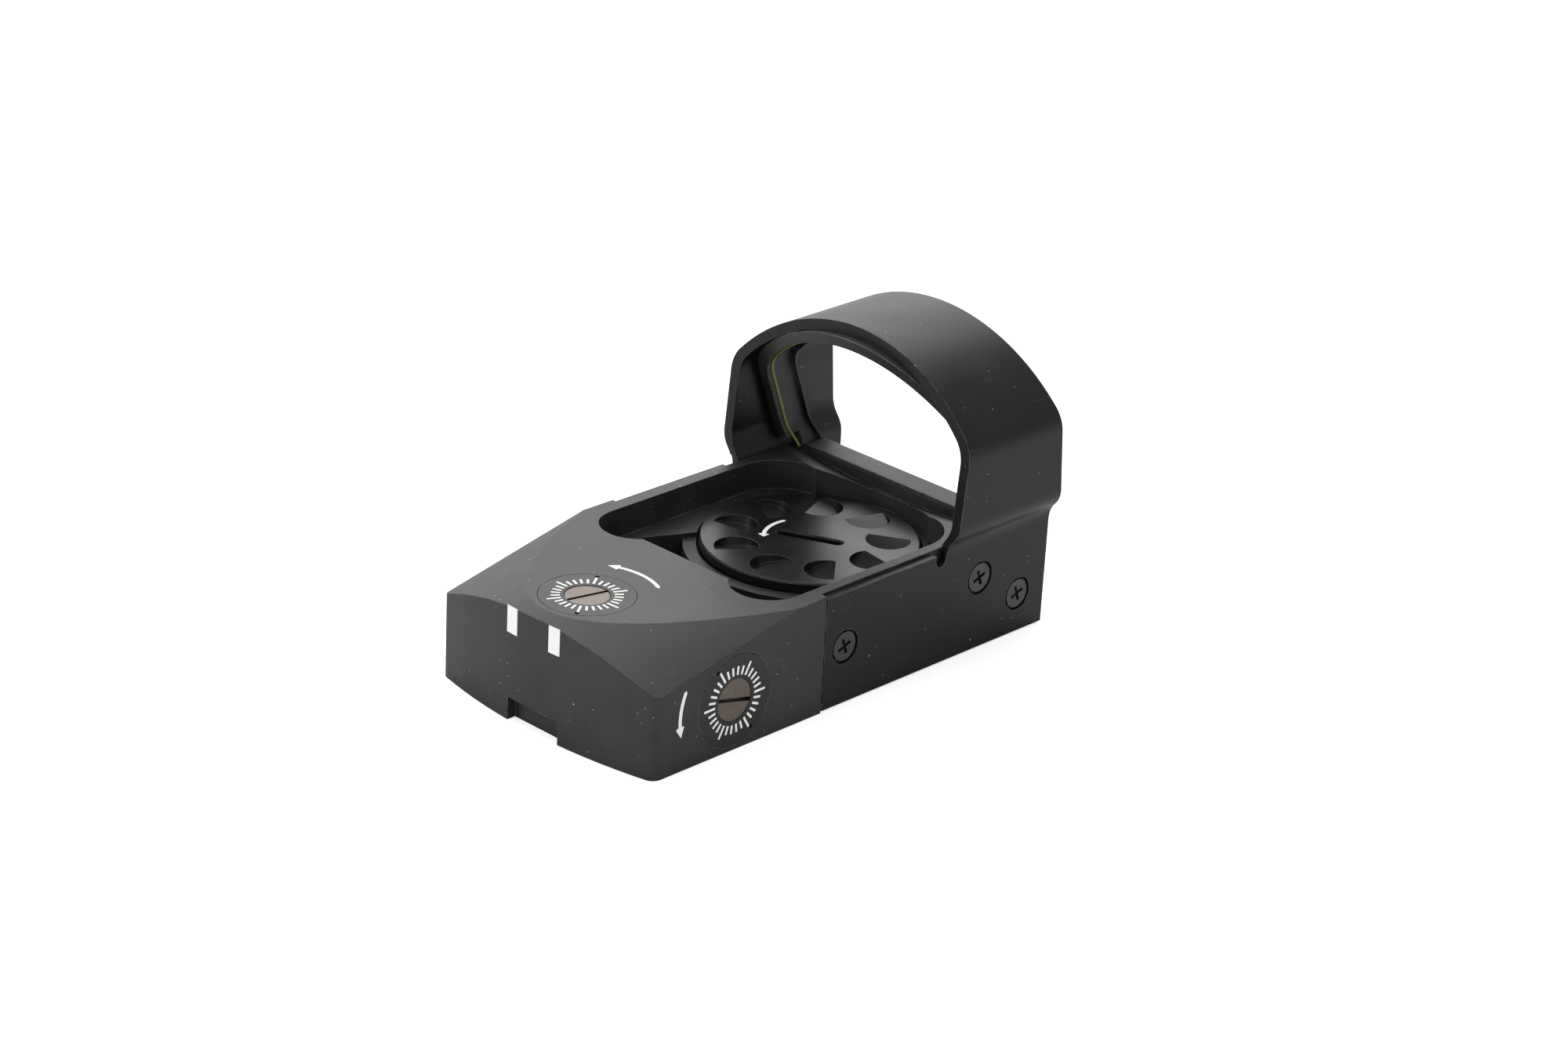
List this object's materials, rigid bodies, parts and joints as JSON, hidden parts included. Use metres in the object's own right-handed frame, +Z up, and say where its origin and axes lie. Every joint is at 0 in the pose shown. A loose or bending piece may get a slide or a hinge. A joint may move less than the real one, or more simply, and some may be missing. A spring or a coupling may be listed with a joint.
{
  "type": "open reflex sight",
  "caption": "Miniature open reflex sight: low body with a coin-cell well, two slotted adjusters and an arched hood around a tilted lens.",
  "frame": {"origin": "middle of the length and width, on the flat underside", "axes": "+X to the right seen from behind, +Y forward from the adjusters to the lens, +Z up"},
  "size_m": [0.0282, 0.0484, 0.0266],
  "materials": {
    "anodised_chassis": "fine matte black hard anodising over machined aluminium",
    "anodised_hood": "matte black hard anodising, slightly darker than the chassis",
    "coated_glass": "polished optical glass with a faint coating",
    "black_adhesive": "cured black adhesive bead",
    "cap_black": "smooth satin black anodising, glossier than the chassis",
    "seal_rubber": "black nitrile rubber",
    "spring_steel": "drawn stainless spring steel",
    "cell_steel": "nickel-plated stainless can",
    "black_nylon": "black filled nylon moulding",
    "gold_contact": "gold-flashed contact metal",
    "adjuster_steel": "turned steel with a brownish plated finish",
    "dial_black": "matte black ring with a white painted scale",
    "brass": "machined brass",
    "flex_film": "amber polyimide film",
    "board_green": "solder-masked glass laminate",
    "button_rubber": "moulded black rubber",
    "plunger_nylon": "natural nylon",
    "screw_black": "blackened steel",
    "cover_black": "moulded black nylon plate"
  },
  "bodies": {
    "chassis": {"base_body": "anodised_chassis", "hood_shroud": "anodised_hood", "lens_rear_element": "coated_glass", "lens_front_element": "coated_glass", "lens_bond": "black_adhesive", "coin_cell": "cell_steel", "battery_cup": "black_nylon", "negative_contact": "gold_contact", "elevation_dial_ring": "dial_black", "elevation_click_ball": "spring_steel", "elevation_click_spring": "spring_steel", "elevation_screw_seal": "seal_rubber", "elevation_return_spring": "spring_steel", "windage_dial_ring": "dial_black", "windage_click_ball": "spring_steel", "windage_click_spring": "spring_steel", "windage_screw_seal": "seal_rubber", "slider_guide_pin": "spring_steel", "windage_return_spring": "spring_steel", "emitter_window": "coated_glass", "circuit_board": "board_green", "controller_chip": "black_nylon", "board_components": "gold_contact", "button_switch": "black_nylon", "switch_board": "board_green", "shroud_screws_right": "screw_black", "shroud_screws_left": "screw_black", "bottom_cover": "cover_black", "cover_gasket": "seal_rubber", "cover_screws": "screw_black"},
    "cap_spring": {"cap_contact_spring": "spring_steel"},
    "cap_seal": {"cap_o_ring": "seal_rubber"},
    "cap": {"battery_cap": "cap_black"},
    "elevation_knob": {"elevation_screw": "adjuster_steel"},
    "elevation_block": {"elevation_nut": "brass"},
    "windage_knob": {"windage_screw": "adjuster_steel"},
    "slider": {"windage_slider": "brass", "emitter_flex": "flex_film"},
    "emitter": {"emitter_carrier": "black_nylon", "led_emitter": "gold_contact"},
    "button": {"power_button": "button_rubber", "switch_plunger": "plunger_nylon"}
  },
  "joints": [
    {"name": "cap_lift_off", "type": "slide", "parent": "chassis", "child": "cap_spring", "axis": [0, 0, 1], "range_m": [0, 0.0009]},
    {"name": "cap_thread_rise", "type": "slide", "parent": "cap_spring", "child": "cap_seal", "axis": [0, 0, 1], "range_m": [0, 0.00226]},
    {"name": "cap_turn", "type": "hinge", "parent": "cap_seal", "child": "cap", "pos_m": [0, 0.00775, 0.0083], "axis": [0, 0, 1], "range_deg": [0, 1080]},
    {"name": "elevation_screw_turn", "type": "hinge", "parent": "chassis", "child": "elevation_knob", "pos_m": [0, -0.01835, 0.0106], "axis": [0, 0, 1], "range_deg": [-780, 780]},
    {"name": "elevation_nut_travel", "type": "slide", "parent": "chassis", "child": "elevation_block", "axis": [0, 0, 1], "range_m": [-0.00055, 0.00055]},
    {"name": "windage_screw_turn", "type": "hinge", "parent": "chassis", "child": "windage_knob", "pos_m": [0.01275, -0.0138, 0.0045], "axis": [1, 0, 0], "range_deg": [-600, 600]},
    {"name": "windage_slider_travel", "type": "slide", "parent": "chassis", "child": "slider", "axis": [1, 0, 0], "range_m": [-0.00042, 0.00042], "deforming": ["windage_return_spring"]},
    {"name": "emitter_lift", "type": "slide", "parent": "slider", "child": "emitter", "axis": [0, 0, 1], "range_m": [-0.00055, 0.00055], "deforming": ["elevation_return_spring", "emitter_flex"]},
    {"name": "power_button_press", "type": "slide", "parent": "chassis", "child": "button", "axis": [1, 0, 0], "range_m": [0, 0.0005], "stiffness_N_per_m": 5000}
  ],
  "couplings": [
    {"joint": "cap_thread_rise", "follows": "cap_turn", "m_per_rad": 0.00011937},
    {"joint": "elevation_nut_travel", "follows": "elevation_screw_turn", "m_per_rad": -0.000039789},
    {"joint": "emitter_lift", "follows": "elevation_screw_turn", "m_per_rad": -0.000039789},
    {"joint": "windage_slider_travel", "follows": "windage_screw_turn", "m_per_rad": -0.000039789}
  ]
}
